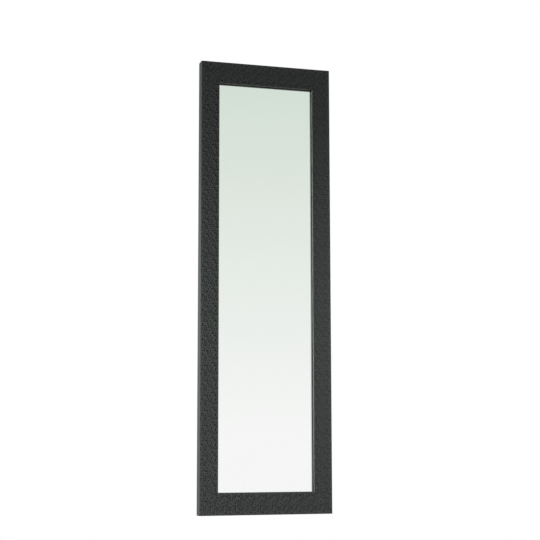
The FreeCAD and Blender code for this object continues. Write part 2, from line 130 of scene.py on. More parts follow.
# Lamps: place, target, width and height in metres, and power in watts
LAMPS = {
    "front lamp": ((0.75, FACE - 0.36, BOTTOM + 0.6), (0.1, FACE, BOTTOM + 0.6), 0.3, 0.8, 10),
    "raking lamp": ((-0.85, FACE - 0.17, -0.75), (0.1, FACE, -0.75), 0.1, 1.0, 21.2),
    "back lamp": ((1.6, 2.6, -0.4), (0, 0, -0.4), 2.4, 1.2, 80),
}

WHITE = (1.0, 1.0, 1.0, 1.0)
SENSOR_WIDTH = 36.0

# Names of the mesh data that materials read
PIT_DATA = "pit"
MEMBER_UV = "Member"


def linear(code):
    """Linear red, green, blue and alpha of an sRGB hex value."""
    srgb = np.array([int(code[start:start + 2], 16) for start in (0, 2, 4)]) / 255
    dark, bright = srgb / 12.92, ((srgb + 0.055) / 1.055) ** 2.4
    return (*np.where(srgb > 0.04045, bright, dark).tolist(), 1.0)


def length(label, note, millimetres):
    """Property for a length, given in millimetres."""
    return FloatProperty(name=label, description=note, default=millimetres * MM, unit="LENGTH", precision=4)


def angle(label, note, degrees):
    """Property for an angle, given in degrees."""
    return FloatProperty(name=label, description=note, default=math.radians(degrees), subtype="ANGLE")


def colour(label, note, code):
    """Property for a colour, given as an sRGB hex value."""
    return FloatVectorProperty(name=label, description=note, default=linear(code), size=4, min=0, max=1,
                               subtype="COLOR")


class MouldingSettings(bpy.types.PropertyGroup):
    edge_round: length("Edge round", "Round on the two front edges of the moulding", 0.8)
    pit_pitch: length("Pit pitch", "Pit to pit across a stile", 9.2)
    roller_turn: length("Roller turn", "Length of a stile after which the embossing repeats", 49.1)
    pit_radius: length("Pit radius", "Middle of a pit to its rim", 3.6)
    pit_depth: length("Pit depth", "Depth of the deepest pits", 1.8)
    paint: colour("Paint", "Satin paint on the face and sides", "2C2E2D")
    paint_worn: colour("Paint, paler", "Paler clouds in the paint", "313433")
    # The colour in the pits is painted shade: darker than the paint, where the pits' own shading falls
    painted_pit_shade: colour("Pit paint", "Paint in the bottom of the pits", "0F100F")
    early_wood: colour("Early wood", "Pale wood between the growth lines", "D8B98C")
    late_wood: colour("Late wood", "Brown growth lines", "A9794A")


class GlassSettings(bpy.types.PropertyGroup):
    arris: length("Arris", "Ground bevel on the edges of the pane", 0.8)
    film: length("Backing film", "Silver and paint on the back of the pane, drawn thicker than they are", 0.1)
    clear: colour("Glass", "Clear glass", "FFFFFF")
    silver: colour("Silver", "Silvering on the back of the glass", "F9FAF9")
    edge: colour("Edge", "Ground edge of the glass", "6E9A88")
    edge_dark: colour("Edge, dark", "Deeper marks of the grinding", "4F7A69")
    backing: colour("Backing", "Paint over the silver at the back", "5C6066")
    backing_dark: colour("Backing, dark", "Thicker clouds of that paint", "4A4E54")


class BackSettings(bpy.types.PropertyGroup):
    board: colour("Hardboard", "Pressed brown fibres", "7A5534")
    board_dark: colour("Hardboard, dark", "Dark fibres and specks", "4E331E")
    card: colour("Cardboard", "Kraft liner of the filler", "B58B5C")
    card_dark: colour("Cardboard, dark", "Streaks in the liner", "96703F")
    foam: colour("Foam", "Closed-cell foam tape", "2B2B2C")
    foam_dark: colour("Foam, dark", "Cut cells of the foam", "19191A")
    block: colour("Block rubber", "Setting blocks", "1B1B1C")
    block_dark: colour("Block rubber, dark", "Darker grain of the blocks", "121213")


class HardwareSettings(bpy.types.PropertyGroup):
    rib_height: length("Rib height", "Pressed rib of a turn button", 0.7)
    rib_width: length("Rib width", "Half width of the pressed rib", 3.2)
    edge_ease: length("Edge ease", "Softened edge of the sheet metal", 0.3)
    zinc: colour("Zinc", "Bright zinc plating", "C4C8CA")
    zinc_dull: colour("Zinc, dull", "Duller crystals in the plating", "989EA2")
    bumper: colour("Bumper rubber", "Black rubber bumpers", "161617")
    bumper_dark: colour("Bumper rubber, dark", "Darker grain of the bumpers", "0E0E0F")


class StageSettings(bpy.types.PropertyGroup):
    hang_height: length("Hanging height", "Floor to the bottom of the frame", 300.0)
    floor_radius: length("Floor radius", "Radius of the round floor", 2400.0)
    floor: colour("Floor", "Pale floor", "EBEBE9")
    lens: FloatProperty(name="Lens", description="Focal length in millimetres", default=86.231)
    yaw: angle("Yaw", "Camera turned to the right", 16.205)
    pitch: angle("Pitch", "Camera tilted up", 7.514)
    roll: angle("Roll", "Camera turned about its own axis", -0.086)
    camera: FloatVectorProperty(name="Camera", description="Place of the camera", size=3,
                                default=(-1.19705, -4.20737, -1.03132), subtype="TRANSLATION")


def settings(group):
    """The scene's settings of one kind."""
    return getattr(bpy.context.scene, f"wall_mirror_{group}")


def feed(node, inputs):
    """Feeds inputs of a node, each with a value, from a socket or from another node's first output in use.

    Inputs that share a name go by number: a mix of colours has its share at 0 and the colours at 6 and 7.
    """
    for name, source in inputs.items():
        if isinstance(source, bpy.types.Node):
            source = next(output for output in source.outputs if output.enabled)
        if isinstance(source, bpy.types.NodeSocket):
            node.id_data.links.new(source, node.inputs[name])
        else:
            node.inputs[name].default_value = source


def add_node(tree, kind, inputs=None, **values):
    """Adds a shader node, whose kind is given without that prefix, sets its values and feeds its inputs."""
    node = tree.nodes.new(f"ShaderNode{kind}")
    for name, value in values.items():
        setattr(node, name, value)
    feed(node, inputs or {})
    return node


def new_material(name):
    """New material, the function that adds to its nodes, and its Principled shader, already on the output."""
    material = bpy.data.materials.new(name)
    material.use_nodes = True
    material.node_tree.nodes.clear()
    add = partial(add_node, material.node_tree)
    shader = add("BsdfPrincipled")
    add("OutputMaterial", {"Surface": shader})
    return material, add, shader


def satin_paint():
    """Sprayed satin paint over embossed primer: charcoal with a broad soft gloss, and painted shade in the
    pits.
    """
    look = settings("moulding")
    # The spray's grain is a few tenths of a millimetre; it is drawn at 2 mm so that it shows
    cloud, spray, grain_height = 45 * MM, 2 * MM, 0.1 * MM
    # The painted shade in the pits starts at the first of these shares of a pit's depth, and is full at the
    # second
    rim_depth, full_depth = 0.03, 0.4
    material, add, shader = new_material("satin black paint")
    place = add("TexCoord").outputs["Object"]
    pits = add("Attribute", attribute_name=PIT_DATA).outputs["Fac"]
    clouds = add("TexNoise", {"Vector": place, "Scale": 1 / cloud, "Detail": 4.0})
    grain = add("TexNoise", {"Vector": place, "Scale": 1 / spray, "Detail": 2.0})
    ground = add("Mix", {0: clouds, 6: look.paint, 7: look.paint_worn}, data_type="RGBA")
    # Painted shade: the base colour darkens towards the pit colour as the pits get deeper
    pit_shade_share = add("MapRange", {"Value": pits, "From Min": rim_depth, "From Max": full_depth})
    base = add("Mix", {0: pit_shade_share, 6: ground, 7: look.painted_pit_shade}, data_type="RGBA")
    rough = add("MapRange", {"Value": grain, "To Min": 0.3, "To Max": 0.44})
    bump = add("Bump", {"Height": grain, "Strength": 0.25, "Distance": grain_height})
    feed(shader, {"Base Color": base, "Roughness": rough, "Normal": bump, "IOR": 1.5,
                  "Specular IOR Level": 0.3})
    return material


def raw_pine():
    """Planed, finger-jointed pine: straw colour with brown growth lines along the length, in short blocks."""
    look = settings("moulding")
    block, finger, finger_pitch, glue = 310 * MM, 11 * MM, 8 * MM, 0.5 * MM
    growth, drift, sharpness = 3.4 * MM, 30 * MM, 2.5
    fibre, fibre_height, slenderness = 0.8 * MM, 0.2 * MM, 0.06
    material, add, shader = new_material("raw finger-jointed pine")
    uv = add("UVMap", uv_map=MEMBER_UV)
    parts = add("SeparateXYZ", {0: uv}).outputs
    fingers = add("Math", {0: parts["Y"], 1: finger_pitch / 2}, operation="PINGPONG")
    shifted = add("Math", {0: fingers, 1: 2 * finger / finger_pitch, 2: parts["X"]},
                  operation="MULTIPLY_ADD")
    share = add("Math", {0: shifted, 1: block}, operation="DIVIDE")
    number = add("Math", {0: share}, operation="FLOOR")
    tone = add("TexWhiteNoise", {"W": number}, noise_dimensions="1D")
    joint = add("Math", {0: shifted, 1: block / 2}, operation="PINGPONG")
    seam = add("Math", {0: joint, 1: glue}, operation="LESS_THAN")
    # Each block is cut from another board, so its lines start elsewhere
    jump = add("CombineXYZ", {"X": tone, "Y": tone, "Z": tone})
    board = add("VectorMath", {0: uv, 1: jump}, operation="ADD")
    drawn_out = add("Mapping", {"Vector": board, "Scale": (slenderness, 1.0, 1.0)})
    fibres = add("TexNoise", {"Vector": drawn_out, "Scale": 1 / fibre})
    # Growth lines drift apart and together; each darkens slowly, ends sharply and has its own strength
    place = add("SeparateXYZ", {0: board}).outputs["Y"]
    slow = add("TexNoise", {"Vector": drawn_out, "Scale": 1 / drift})
    moved = add("Math", {0: slow, 1: drift, 2: place}, operation="MULTIPLY_ADD")
    years = add("Math", {0: moved, 1: growth}, operation="DIVIDE")
    year = add("Math", {0: years}, operation="FLOOR")
    season = add("Math", {0: years}, operation="FRACT")
    late = add("Math", {0: season, 1: sharpness}, operation="POWER")
    chance = add("TexWhiteNoise", {"W": year}, noise_dimensions="1D")
    strong = add("MapRange", {"Value": chance, "To Min": 0.2, "To Max": 0.8})
    lines = add("Math", {0: late, 1: strong}, operation="MULTIPLY")
    streaks = add("MapRange", {"Value": fibres, "To Min": -0.1, "To Max": 0.3})
    brown = add("Math", {0: lines, 1: streaks}, operation="ADD")
    wood = add("Mix", {0: brown, 6: look.early_wood, 7: look.late_wood}, data_type="RGBA")
    shade = add("MapRange", {"Value": tone, "To Min": 0.86, "To Max": 1.04})
    toned = add("VectorMath", {0: wood, "Scale": shade}, operation="SCALE")
    glued = add("Mix", {0: seam, 6: toned, 7: look.late_wood}, data_type="RGBA")
    rough = add("MapRange", {"Value": fibres, "To Min": 0.55, "To Max": 0.75})
    bump = add("Bump", {"Height": fibres, "Strength": 0.3, "Distance": fibre_height})
    feed(shader, {"Base Color": glued, "Roughness": rough, "Normal": bump})
    return material


def silvering():
    """Silver on the back of the glass, with the faintest haze left by the cloth that wiped it."""
    patch, wipe, haziest = 60 * MM, 0.3, 0.012
    material, add, shader = new_material("silvering")
    place = add("TexCoord").outputs["Object"]
    wiped = add("Mapping", {"Vector": place, "Scale": (1.0, 1.0, wipe)})
    haze = add("TexNoise", {"Vector": wiped, "Scale": 1 / patch, "Detail": 3.0})
    rough = add("MapRange", {"Value": haze, "To Min": 0.0, "To Max": haziest})
    feed(shader, {"Base Color": settings("glass").silver, "Metallic": 1.0, "Roughness": rough})
    return material


def float_glass():
    """Polished float glass: clear, with sharp reflections."""
    material, _, shader = new_material("clear float glass")
    feed(shader, {"Base Color": settings("glass").clear, "Roughness": 0.0, "IOR": 1.52,
                  "Transmission Weight": 1.0})
    return material


def mottled(name, base, dark, grain, rough, bump_depth, stretch=(1.0, 1.0, 1.0)):
    """Two colours mixed by two sizes of grain, which also roughen and raise the surface a little."""
    broad_share, broad_size, darkest, palest = 0.35, 12.5, 0.35, 0.65
    material, add, shader = new_material(name)
    place = add("TexCoord").outputs["Object"]
    drawn = add("Mapping", {"Vector": place, "Scale": stretch})
    fine = add("TexNoise", {"Vector": drawn, "Scale": 1 / grain, "Detail": 4.0, "Roughness": 0.65})
    broad = add("TexNoise", {"Vector": place, "Scale": 1 / (broad_size * grain)})
    both = add("Mix", {0: broad_share, 2: fine, 3: broad}, data_type="FLOAT")
    share = add("MapRange", {"Value": both, "From Min": darkest, "From Max": palest})
    tone = add("Mix", {0: share, 6: dark, 7: base}, data_type="RGBA")
    dull = add("MapRange", {"Value": fine, "To Min": rough[0], "To Max": rough[1]})
    bump = add("Bump", {"Height": fine, "Strength": 0.5, "Distance": bump_depth})
    feed(shader, {"Base Color": tone, "Roughness": dull, "Normal": bump})
    return material


def zinc_plating():
    """Bright zinc on pressed steel: pale grey, satin, with faint crystals a few millimetres across."""
    look = settings("hardware")
    crystal, scuff, scuff_share = 2.5 * MM, 6 * MM, 0.6
    material, add, shader = new_material("bright zinc-plated steel")
    place = add("TexCoord").outputs["Object"]
    crystals = add("TexVoronoi", {"Vector": place, "Scale": 1 / crystal}).outputs["Color"]
    grey = add("SeparateXYZ", {0: crystals}).outputs["X"]
    scuffs = add("TexNoise", {"Vector": place, "Scale": 1 / scuff, "Detail": 4.0})
    blend = add("Mix", {0: scuff_share, 2: grey, 3: scuffs}, data_type="FLOAT")
    tone = add("Mix", {0: blend, 6: look.zinc_dull, 7: look.zinc}, data_type="RGBA")
    rough = add("MapRange", {"Value": blend, "To Min": 0.42, "To Max": 0.26})
    feed(shader, {"Base Color": tone, "Roughness": rough, "Metallic": 1.0})
    return material


def grid_faces(rows, columns, close_rows=False, close_columns=False):
    """Quads of a grid of points numbered row by row; a closed direction runs on to its own start."""
    row, column = np.meshgrid(np.arange(rows if close_rows else rows - 1),
                              np.arange(columns if close_columns else columns - 1), indexing="ij")
    below, beside = (row + 1) % rows, (column + 1) % columns
    corners = [row * columns + column, row * columns + beside,
               below * columns + beside, below * columns + column]
    return np.stack(corners, axis=-1).reshape(-1, 4)


def carried_faces(rows, columns):
    """Faces of an outline carried along a path: quads round it and one face over each end."""
    end = np.arange(columns)[None, :]
    return [grid_faces(rows, columns, close_columns=True), end[:, ::-1], end + (rows - 1) * columns]


def lathe_faces(rings, steps):
    """Faces of a turned shape: a fan at the first pole, quads between rings, and a fan at the last pole.

    Point 0 is the first pole, the rings follow, and the last pole is the last point.
    """
    around = np.arange(steps)
    beside = (around + 1) % steps
    last_ring = 1 + (rings - 1) * steps
    first_fan = np.stack([np.zeros_like(around), 1 + beside, 1 + around], axis=-1)
    last_pole = np.full_like(around, 1 + rings * steps)
    last_fan = np.stack([last_pole, last_ring + around, last_ring + beside], axis=-1)
    return [first_fan, 1 + grid_faces(rings, steps, close_columns=True), last_fan]


def enclosed(points, faces):
    """Volume inside a closed mesh: the sum of the pyramids from the origin to each fan of triangles."""
    total = 0.0
    for group in faces:
        first = points[group[:, 0]]
        for corner in range(1, group.shape[1] - 1):
            second, third = points[group[:, corner]], points[group[:, corner + 1]]
            total += np.einsum("ij,ij->", first, np.cross(second, third)) / 6
    return total


def add_object(name, data):
    """New object in the scene."""
    item = bpy.data.objects.new(name, data)
    bpy.context.scene.collection.objects.link(item)
    return item


def make_piece(name, points, faces, materials, zones=None):
    """Smooth object from points and groups of faces; zones number the material of each face."""
    if enclosed(points - points.mean(axis=0), faces) <= 0:
        raise RuntimeError(f"{name} is inside out")
    sizes = np.concatenate([np.full(len(group), group.shape[1]) for group in faces])
    corners = np.concatenate([group.ravel() for group in faces])
    mesh = bpy.data.meshes.new(name)
    mesh.vertices.add(len(points))
    mesh.vertices.foreach_set("co", points.ravel().astype(np.float32))
    mesh.loops.add(len(corners))
    mesh.loops.foreach_set("vertex_index", corners.astype(np.int32))
    mesh.polygons.add(len(sizes))
    mesh.polygons.foreach_set("loop_start", (np.cumsum(sizes) - sizes).astype(np.int32))
    for material in materials:
        mesh.materials.append(material)
    if zones is not None:
        mesh.polygons.foreach_set("material_index", zones.astype(np.int32))
    mesh.update(calc_edges=True)
    if mesh.validate():
        raise RuntimeError(f"{name} has a broken face")
    mesh.shade_smooth()
    mesh.set_sharp_from_angle(angle=SHARP_EDGE)
    return add_object(name, mesh)


def fit_piece(piece, body, slot, *nodes):
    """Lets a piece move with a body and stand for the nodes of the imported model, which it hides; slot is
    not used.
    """
    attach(piece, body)
    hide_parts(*nodes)


def dress_node(node, material):
    """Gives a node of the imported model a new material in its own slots."""
    for slot in frame["nodes"][node].material_slots:
        slot.material = material


def smoothstep(value):
    """Rises from 0 to 1 with level ends, as 3 t² - 2 t³."""
    share = np.clip(value, 0, 1)
    return share * share * (3 - 2 * share)


def emboss(across, along, own):
    """Depth of the embossing at points of a stile's face, as a share of the deepest pit.

    Pits lie on a staggered lattice: rows follow along the stile, and every second row starts half a pitch
    further across. A pit is the bell (1 - r²)² of the distance r to its middle, in pit radii. Chance moves
    and weakens each pit, in the same way at every turn of the roller; where pits meet, the deeper one holds.
    Pits weaken towards the two edges, which stay whole.
    """
    look = settings("moulding")
    chance = np.random.default_rng(ROLLER_SEED)
    stray = chance.uniform(-PIT_STRAY, PIT_STRAY, (2, ROLLER_ROWS, ROLLER_COLUMNS)) * look.pit_pitch
    weight = chance.uniform(PIT_WEAKEST, 1.0, (ROLLER_ROWS, ROLLER_COLUMNS))
    row_step = look.roller_turn / ROLLER_ROWS
    depth = np.zeros_like(across)
    for row_offset in (-1, 0, 1):
        row = np.rint(along / row_step).astype(int) + row_offset
        start = 0.5 * (row % 2)
        for column_offset in (-1, 0, 1):
            column = np.rint(across / look.pit_pitch - start).astype(int) + column_offset
            key = (row % ROLLER_ROWS, column % ROLLER_COLUMNS)
            middle_across = (column + start) * look.pit_pitch + stray[0][key]
            middle_along = row * row_step + stray[1][key]
            reach = ((across - middle_across) ** 2 + (along - middle_along) ** 2) / look.pit_radius ** 2
            room = np.minimum(middle_across, own - middle_across) - look.edge_round - EMBOSS_MARGIN
            full = weight[key] * smoothstep(room / look.pit_radius)
            depth = np.maximum(depth, full * np.clip(1 - reach, 0, 1) ** 2)
    edge = np.minimum(across, own - across) - look.edge_round - EMBOSS_MARGIN
    return depth * smoothstep(edge / EMBOSS_FADE)


def moulding_profile(own):
    """Outline of the moulding as distances across from the outer edge and in from the face.

    It starts at the back's outer corner, rises up the outer side, follows a quarter round, the face and the
    second quarter round to the lip, and goes down the lip and along the rebate to the back's inner corner.
    """
    radius = settings("moulding").edge_round
    quarter = np.linspace(0, math.pi / 2, ROUND_STEPS + 1)
    columns = round((own - 2 * radius) / CELL_ACROSS)
    face = np.linspace(radius, own - radius, columns + 1)[1:-1]
    thick = BACK - FACE
    across = np.concatenate([[0], radius * (1 - np.cos(quarter)), face, own - radius * (1 - np.sin(quarter)),
                             [own, own - LAP, own - LAP]])
    depth = np.concatenate([[thick], radius * (1 - np.sin(quarter)), np.zeros_like(face),
                            radius * (1 - np.cos(quarter)), [LIP, LIP, thick]])
    return across, depth


def make_member(name, materials):
    """Length of moulding: the profile carried between its two mitres, with the embossing sunk into its face.

    A profile point at distance a across starts and ends a * met / own inside the member's outer corners.
    """
    own, met, span, start, way_across, way_along = MEMBERS[name]
    profile_across, profile_depth = moulding_profile(own)
    rows = round(span / CELL_ALONG)
    count = len(profile_across)
    mitre = profile_across * met / own
    share = np.linspace(0, 1, rows + 1)[:, None]
    along = mitre + share * (span - 2 * mitre)
    across = np.broadcast_to(profile_across, along.shape)
    # The roller's pattern is as much wider on a rail as the rail is, and as much shorter
    squeeze = STILE_FACE / own
    pit = emboss(across * squeeze, along / squeeze, STILE_FACE) * (profile_depth == 0)
    depth = profile_depth + pit * settings("moulding").pit_depth
    points = np.stack([start[0] + across * way_across[0] + along * way_along[0], FACE + depth,
                       start[1] + across * way_across[1] + along * way_along[1]], axis=-1).reshape(-1, 3)

    # The paint ends where the lip meets the rebate; the mitred ends are stained so that no pale line shows
    bare = np.arange(count) >= count - 2
    zones = np.concatenate([np.tile(bare, rows), [False, False]])
    piece = make_piece(f"{name}_moulding", points, carried_faces(rows + 1, count), materials, zones)

    # The wood's own map: along the member in one direction and round its outline in the other
    outline = np.stack([profile_across, profile_depth], axis=-1)
    steps = np.linalg.norm(np.roll(outline, -1, axis=0) - outline, axis=1)
    around = np.concatenate([[0], np.cumsum(steps)])
    wrapped = np.concatenate([along, along[:, :1]], axis=1)
    corner_along = np.stack([wrapped[:-1, :-1], wrapped[:-1, 1:], wrapped[1:, 1:], wrapped[1:, :-1]], axis=-1)
    corner_around = np.stack([around[:-1], around[1:], around[1:], around[:-1]], axis=-1)
    corner_around = np.broadcast_to(corner_around, corner_along.shape)
    side_map = np.stack([corner_along, corner_around], axis=-1).reshape(-1, 2)
    end_map = np.concatenate([outline[::-1], outline])
    layer = piece.data.uv_layers.new(name=MEMBER_UV)
    layer.uv.foreach_set("vector", np.concatenate([side_map, end_map]).ravel().astype(np.float32))
    # Each point's pit depth, which the paint reads to put painted shade into the pits
    pits = piece.data.attributes.new(PIT_DATA, "FLOAT", "POINT")
    pits.data.foreach_set("value", pit.ravel().astype(np.float32))
    fit_piece(piece, "frame", "black_moulding", name)


class WALLMIRROR_OT_moulding(bpy.types.Operator):
    """Makes the four mitred lengths of embossed moulding."""
    bl_idname = "wall_mirror.moulding"
    bl_label = "Moulding"

    def execute(self, context):
        materials = [satin_paint(), raw_pine()]
        for name in MEMBERS:
            make_member(name, materials)
        return {"FINISHED"}


def slab_points(low, high, front, back, arris):
    """Upright slab between two levels of y: a rectangle carried over its front arris, edge and back arris."""
    inset = np.array([arris, 0, 0, arris])[:, None]
    level = np.array([front, front + arris, back - arris, back])[:, None]
    x = np.array([low.x, high.x, high.x, low.x]) + inset * np.array([1, -1, -1, 1])
    z = np.array([low.z, low.z, high.z, high.z]) + inset * np.array([1, 1, -1, -1])
    return np.stack([x, np.broadcast_to(level, x.shape), z], axis=-1).reshape(-1, 3)


class WALLMIRROR_OT_glass(bpy.types.Operator):
    """Makes the pane: clear glass with the silver on its back, and the paint that covers the silver."""
    bl_idname = "wall_mirror.glass"
    bl_label = "Mirror glass"

    def execute(self, context):
        look = settings("glass")
        # Shares of the film: the paint's thickness and its arris; the rest is a thin gap behind the silver
        paint_share, paint_arris = 0.6, 0.1
        low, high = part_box("mirror_glass")
        glass = slab_points(low, high, low.y, high.y - look.film, look.arris)
        paint = slab_points(low, high, high.y - paint_share * look.film, high.y, paint_arris * look.film)
        slab = [group[:, ::-1] for group in carried_faces(4, 4)]
        faces = slab + [group + len(glass) for group in slab]
        # Ground edges, clear front, silvered back, and paint all over the film
        edges = len(slab[0])
        zones = np.concatenate([np.full(edges, 1), [0, 2], np.full(edges + 2, 3)])
        # Ground edge: frosted grey-green
        ground = mottled("ground glass edge", look.edge, look.edge_dark, 1.5 * MM, (0.35, 0.5), 0.05 * MM)
        # Backing paint: dull grey, clouded where it lies thicker
        cover = mottled("mirror backing paint", look.backing, look.backing_dark, 4 * MM, (0.5, 0.65),
                        0.05 * MM)
        materials = [float_glass(), ground, silvering(), cover]
        pane = make_piece("mirror_pane", np.concatenate([glass, paint]), faces, materials, zones)
        fit_piece(pane, "frame", "silvered_glass", "mirror_glass")
        return {"FINISHED"}


class WALLMIRROR_OT_back(bpy.types.Operator):
    """Finishes the boards, tape and blocks behind the glass, whose shapes are right as packed."""
    bl_idname = "wall_mirror.back"
    bl_label = "Back"

    def execute(self, context):
        look = settings("back")
        # Pressed hardboard: short fibres and dark specks, with a faint sheen from the press plate
        board = mottled("pressed hardboard", look.board, look.board_dark, 5 * MM, (0.5, 0.68), 0.15 * MM,
                        (1.0, 1.0, 0.6))
        # Kraft liner: streaky brown paper
        card = mottled("kraft honeycomb card", look.card, look.card_dark, 8 * MM, (0.75, 0.9), 0.1 * MM,
                       (1.0, 1.0, 0.3))
        # Closed-cell foam: black, matt and finely pitted
        foam = mottled("closed-cell foam", look.foam, look.foam_dark, 1.2 * MM, (0.85, 0.95), 0.2 * MM)
        # Extruded rubber: black and matt
        rubber = mottled("extruded rubber", look.block, look.block_dark, 2 * MM, (0.65, 0.8), 0.05 * MM)
        dress_node("back_panel", board)
        dress_node("filler_board", card)
        for side in ("left", "right", "top", "bottom"):
            dress_node(f"glazing_tape_{side}", foam)
        for side in ("left", "right"):
            dress_node(f"setting_block_{side}", rubber)
        return {"FINISHED"}


def turned_points(radii, heights, steps):
    """Rings of a shape turned about Y, as an array of rings by steps by coordinates."""
    turn = np.linspace(0, 2 * math.pi, steps, endpoint=False)
    rings = np.broadcast_to(np.asarray(heights)[:, None], (len(radii), steps))
    return np.stack([np.outer(radii, np.cos(turn)), rings, np.outer(radii, np.sin(turn))], axis=-1)


def screw_points(turn):
    """Round-head wood screw about Y with its seat at y = 0, as poles and rings.

    The head is the dome rim + (1 - rim) * (1 - s³)^½ of the share s of its radius. The cross recess is cut
    where the smaller of |x| and |z| lies inside an arm's half width and the larger inside its half length,
    and gets shallower outwards.
    """
    head, tall, shank, long, tip = 3.5 * MM, 2.2 * MM, 1.5 * MM, 16 * MM, 4 * MM
    arm_width, arm_length, recess = 0.55 * MM, 2.1 * MM, 1.3 * MM
    side_slope, end_slope = 0.35 * arm_width, 0.8 * arm_length
    rim, rings = 0.35, 26
    share = np.linspace(0, 1, rings + 1)[1:]
    dome = tall * (rim + (1 - rim) * np.sqrt(1 - share ** 3))
    radii = np.concatenate([share * head, [head, shank, shank]])
    heights = np.concatenate([dome, [0, 0, tip - long]])
    points = turned_points(radii, heights, TURN_STEPS)
    near, far = np.sort(np.abs(points[:rings, :, [0, 2]]), axis=-1).transpose(2, 0, 1)
    cut = smoothstep((arm_width - near) / side_slope) * smoothstep((arm_length - far) / end_slope)
    points[:rings, :, 1] -= recess * cut
    poles = np.array([[0, tall - recess, 0], [0, -long, 0]])
    whole = np.concatenate([poles[:1], points.reshape(-1, 3), poles[1:]])
    spin = np.array([[math.cos(turn), 0, -math.sin(turn)], [0, 1, 0], [math.sin(turn), 0, math.cos(turn)]])
    return whole @ spin, len(radii)


def make_screws(name, node, seats, material):
    """One object of several screws on their seats, each turned in as far as its own thread took it."""
    points, faces = [], []
    chance = np.random.default_rng(len(seats))
    for seat in seats:
        screw, rings = screw_points(chance.uniform(0, math.pi / 2))
        shift = sum(len(earlier) for earlier in points)
        points.append(screw + np.array(seat))
        faces += [group + shift for group in lathe_faces(rings, TURN_STEPS)]
    piece = make_piece(name, np.concatenate(points), faces, [material])
    fit_piece(piece, "frame", "zinc_steel", node)


def button_points(rib_height, rib_width, ease):
    """Turn button as a closed grid: its cut section, from hole to tip and back, carried round its outline.

    The outline is a bar with round ends: a point of its spine plus the bar's half width along a direction.
    Section points lie a share of the way from the hole to the outline. On the upper side a rib is pressed up
    by the bell (1 - r²)² of the distance r to the rib's line, in rib widths.
    """
    reach, half, hole = 18 * MM, 6 * MM, 2 * MM
    rib_start, rib_end, upper_steps = 7.5 * MM, 18 * MM, 15
    turn = np.linspace(math.pi / 2, 3 * math.pi / 2, BEND_STEPS)
    run = np.linspace(0, 1, BEND_STEPS // 2 + 2)[1:-1]
    flat = np.full_like(run, -math.pi / 2)
    spine = np.concatenate([np.zeros_like(turn), run, np.ones_like(turn), run[::-1]]) * reach
    facing = np.concatenate([turn, flat, turn - math.pi, -flat])
    direction = np.stack([np.cos(facing), np.sin(facing)], axis=-1)
    steps = len(spine)
    hole_turn = math.pi / 2 + np.linspace(0, 2 * math.pi, steps, endpoint=False)
    rim = hole * np.stack([np.cos(hole_turn), np.sin(hole_turn)], axis=-1)
    upper = np.linspace(1, 0, upper_steps)
    share = np.concatenate([[0, 1, 1, 1], upper])
    inset = np.concatenate([[0, ease, 0, 0], np.full_like(upper, ease)])
    height = np.concatenate([[0, 0, ease, BUTTON_SHEET - ease], np.full_like(upper, BUTTON_SHEET)])
    spine_points = np.stack([spine, np.zeros_like(spine)], axis=-1)
    outer = spine_points + (half - inset)[:, None, None] * direction
    flat_points = rim + share[:, None, None] * (outer - rim)
    along, aside = flat_points[..., 0], flat_points[..., 1]
    off = (along - np.clip(along, rib_start, rib_end)) ** 2 + aside ** 2
    raised = (height == BUTTON_SHEET)[:, None] * rib_height * np.clip(1 - off / rib_width ** 2, 0, 1) ** 2
    return along, height[:, None] + raised, aside


class WALLMIRROR_OT_turn_buttons(bpy.types.Operator):
    """Makes the ten pressed turn buttons and the screws that they turn on."""
    bl_idname = "wall_mirror.turn_buttons"
    bl_label = "Turn buttons"

    def execute(self, context):
        look = settings("hardware")
        lift = 0.2 * MM
        zinc = zinc_plating()
        ways = {"left": (1, 0), "right": (-1, 0), "top": (0, -1), "bottom": (0, 1)}
        along, height, aside = button_points(look.rib_height, look.rib_width, look.edge_ease)
        faces = grid_faces(*along.shape, close_rows=True, close_columns=True)[:, ::-1]
        seats = []
        for body, pivot in PIVOTS.items():
            if not body.endswith("_button"):
                continue
            place = body.removesuffix("_button")
            way_x, way_z = ways[place.split("_")[0]]
            points = np.stack([pivot.x + along * way_x - aside * way_z, BACK + lift + height,
                               pivot.z + along * way_z + aside * way_x], axis=-1).reshape(-1, 3)
            piece = make_piece(f"turn_button_{place}_pressed", points, [faces], [zinc])
            fit_piece(piece, body, "zinc_steel", f"turn_button_{place}")
            seats.append((pivot.x, BACK + 2 * lift + BUTTON_SHEET, pivot.z))
        make_screws("turn_button_screw_set", "turn_button_screws", seats, zinc)
        return {"FINISHED"}


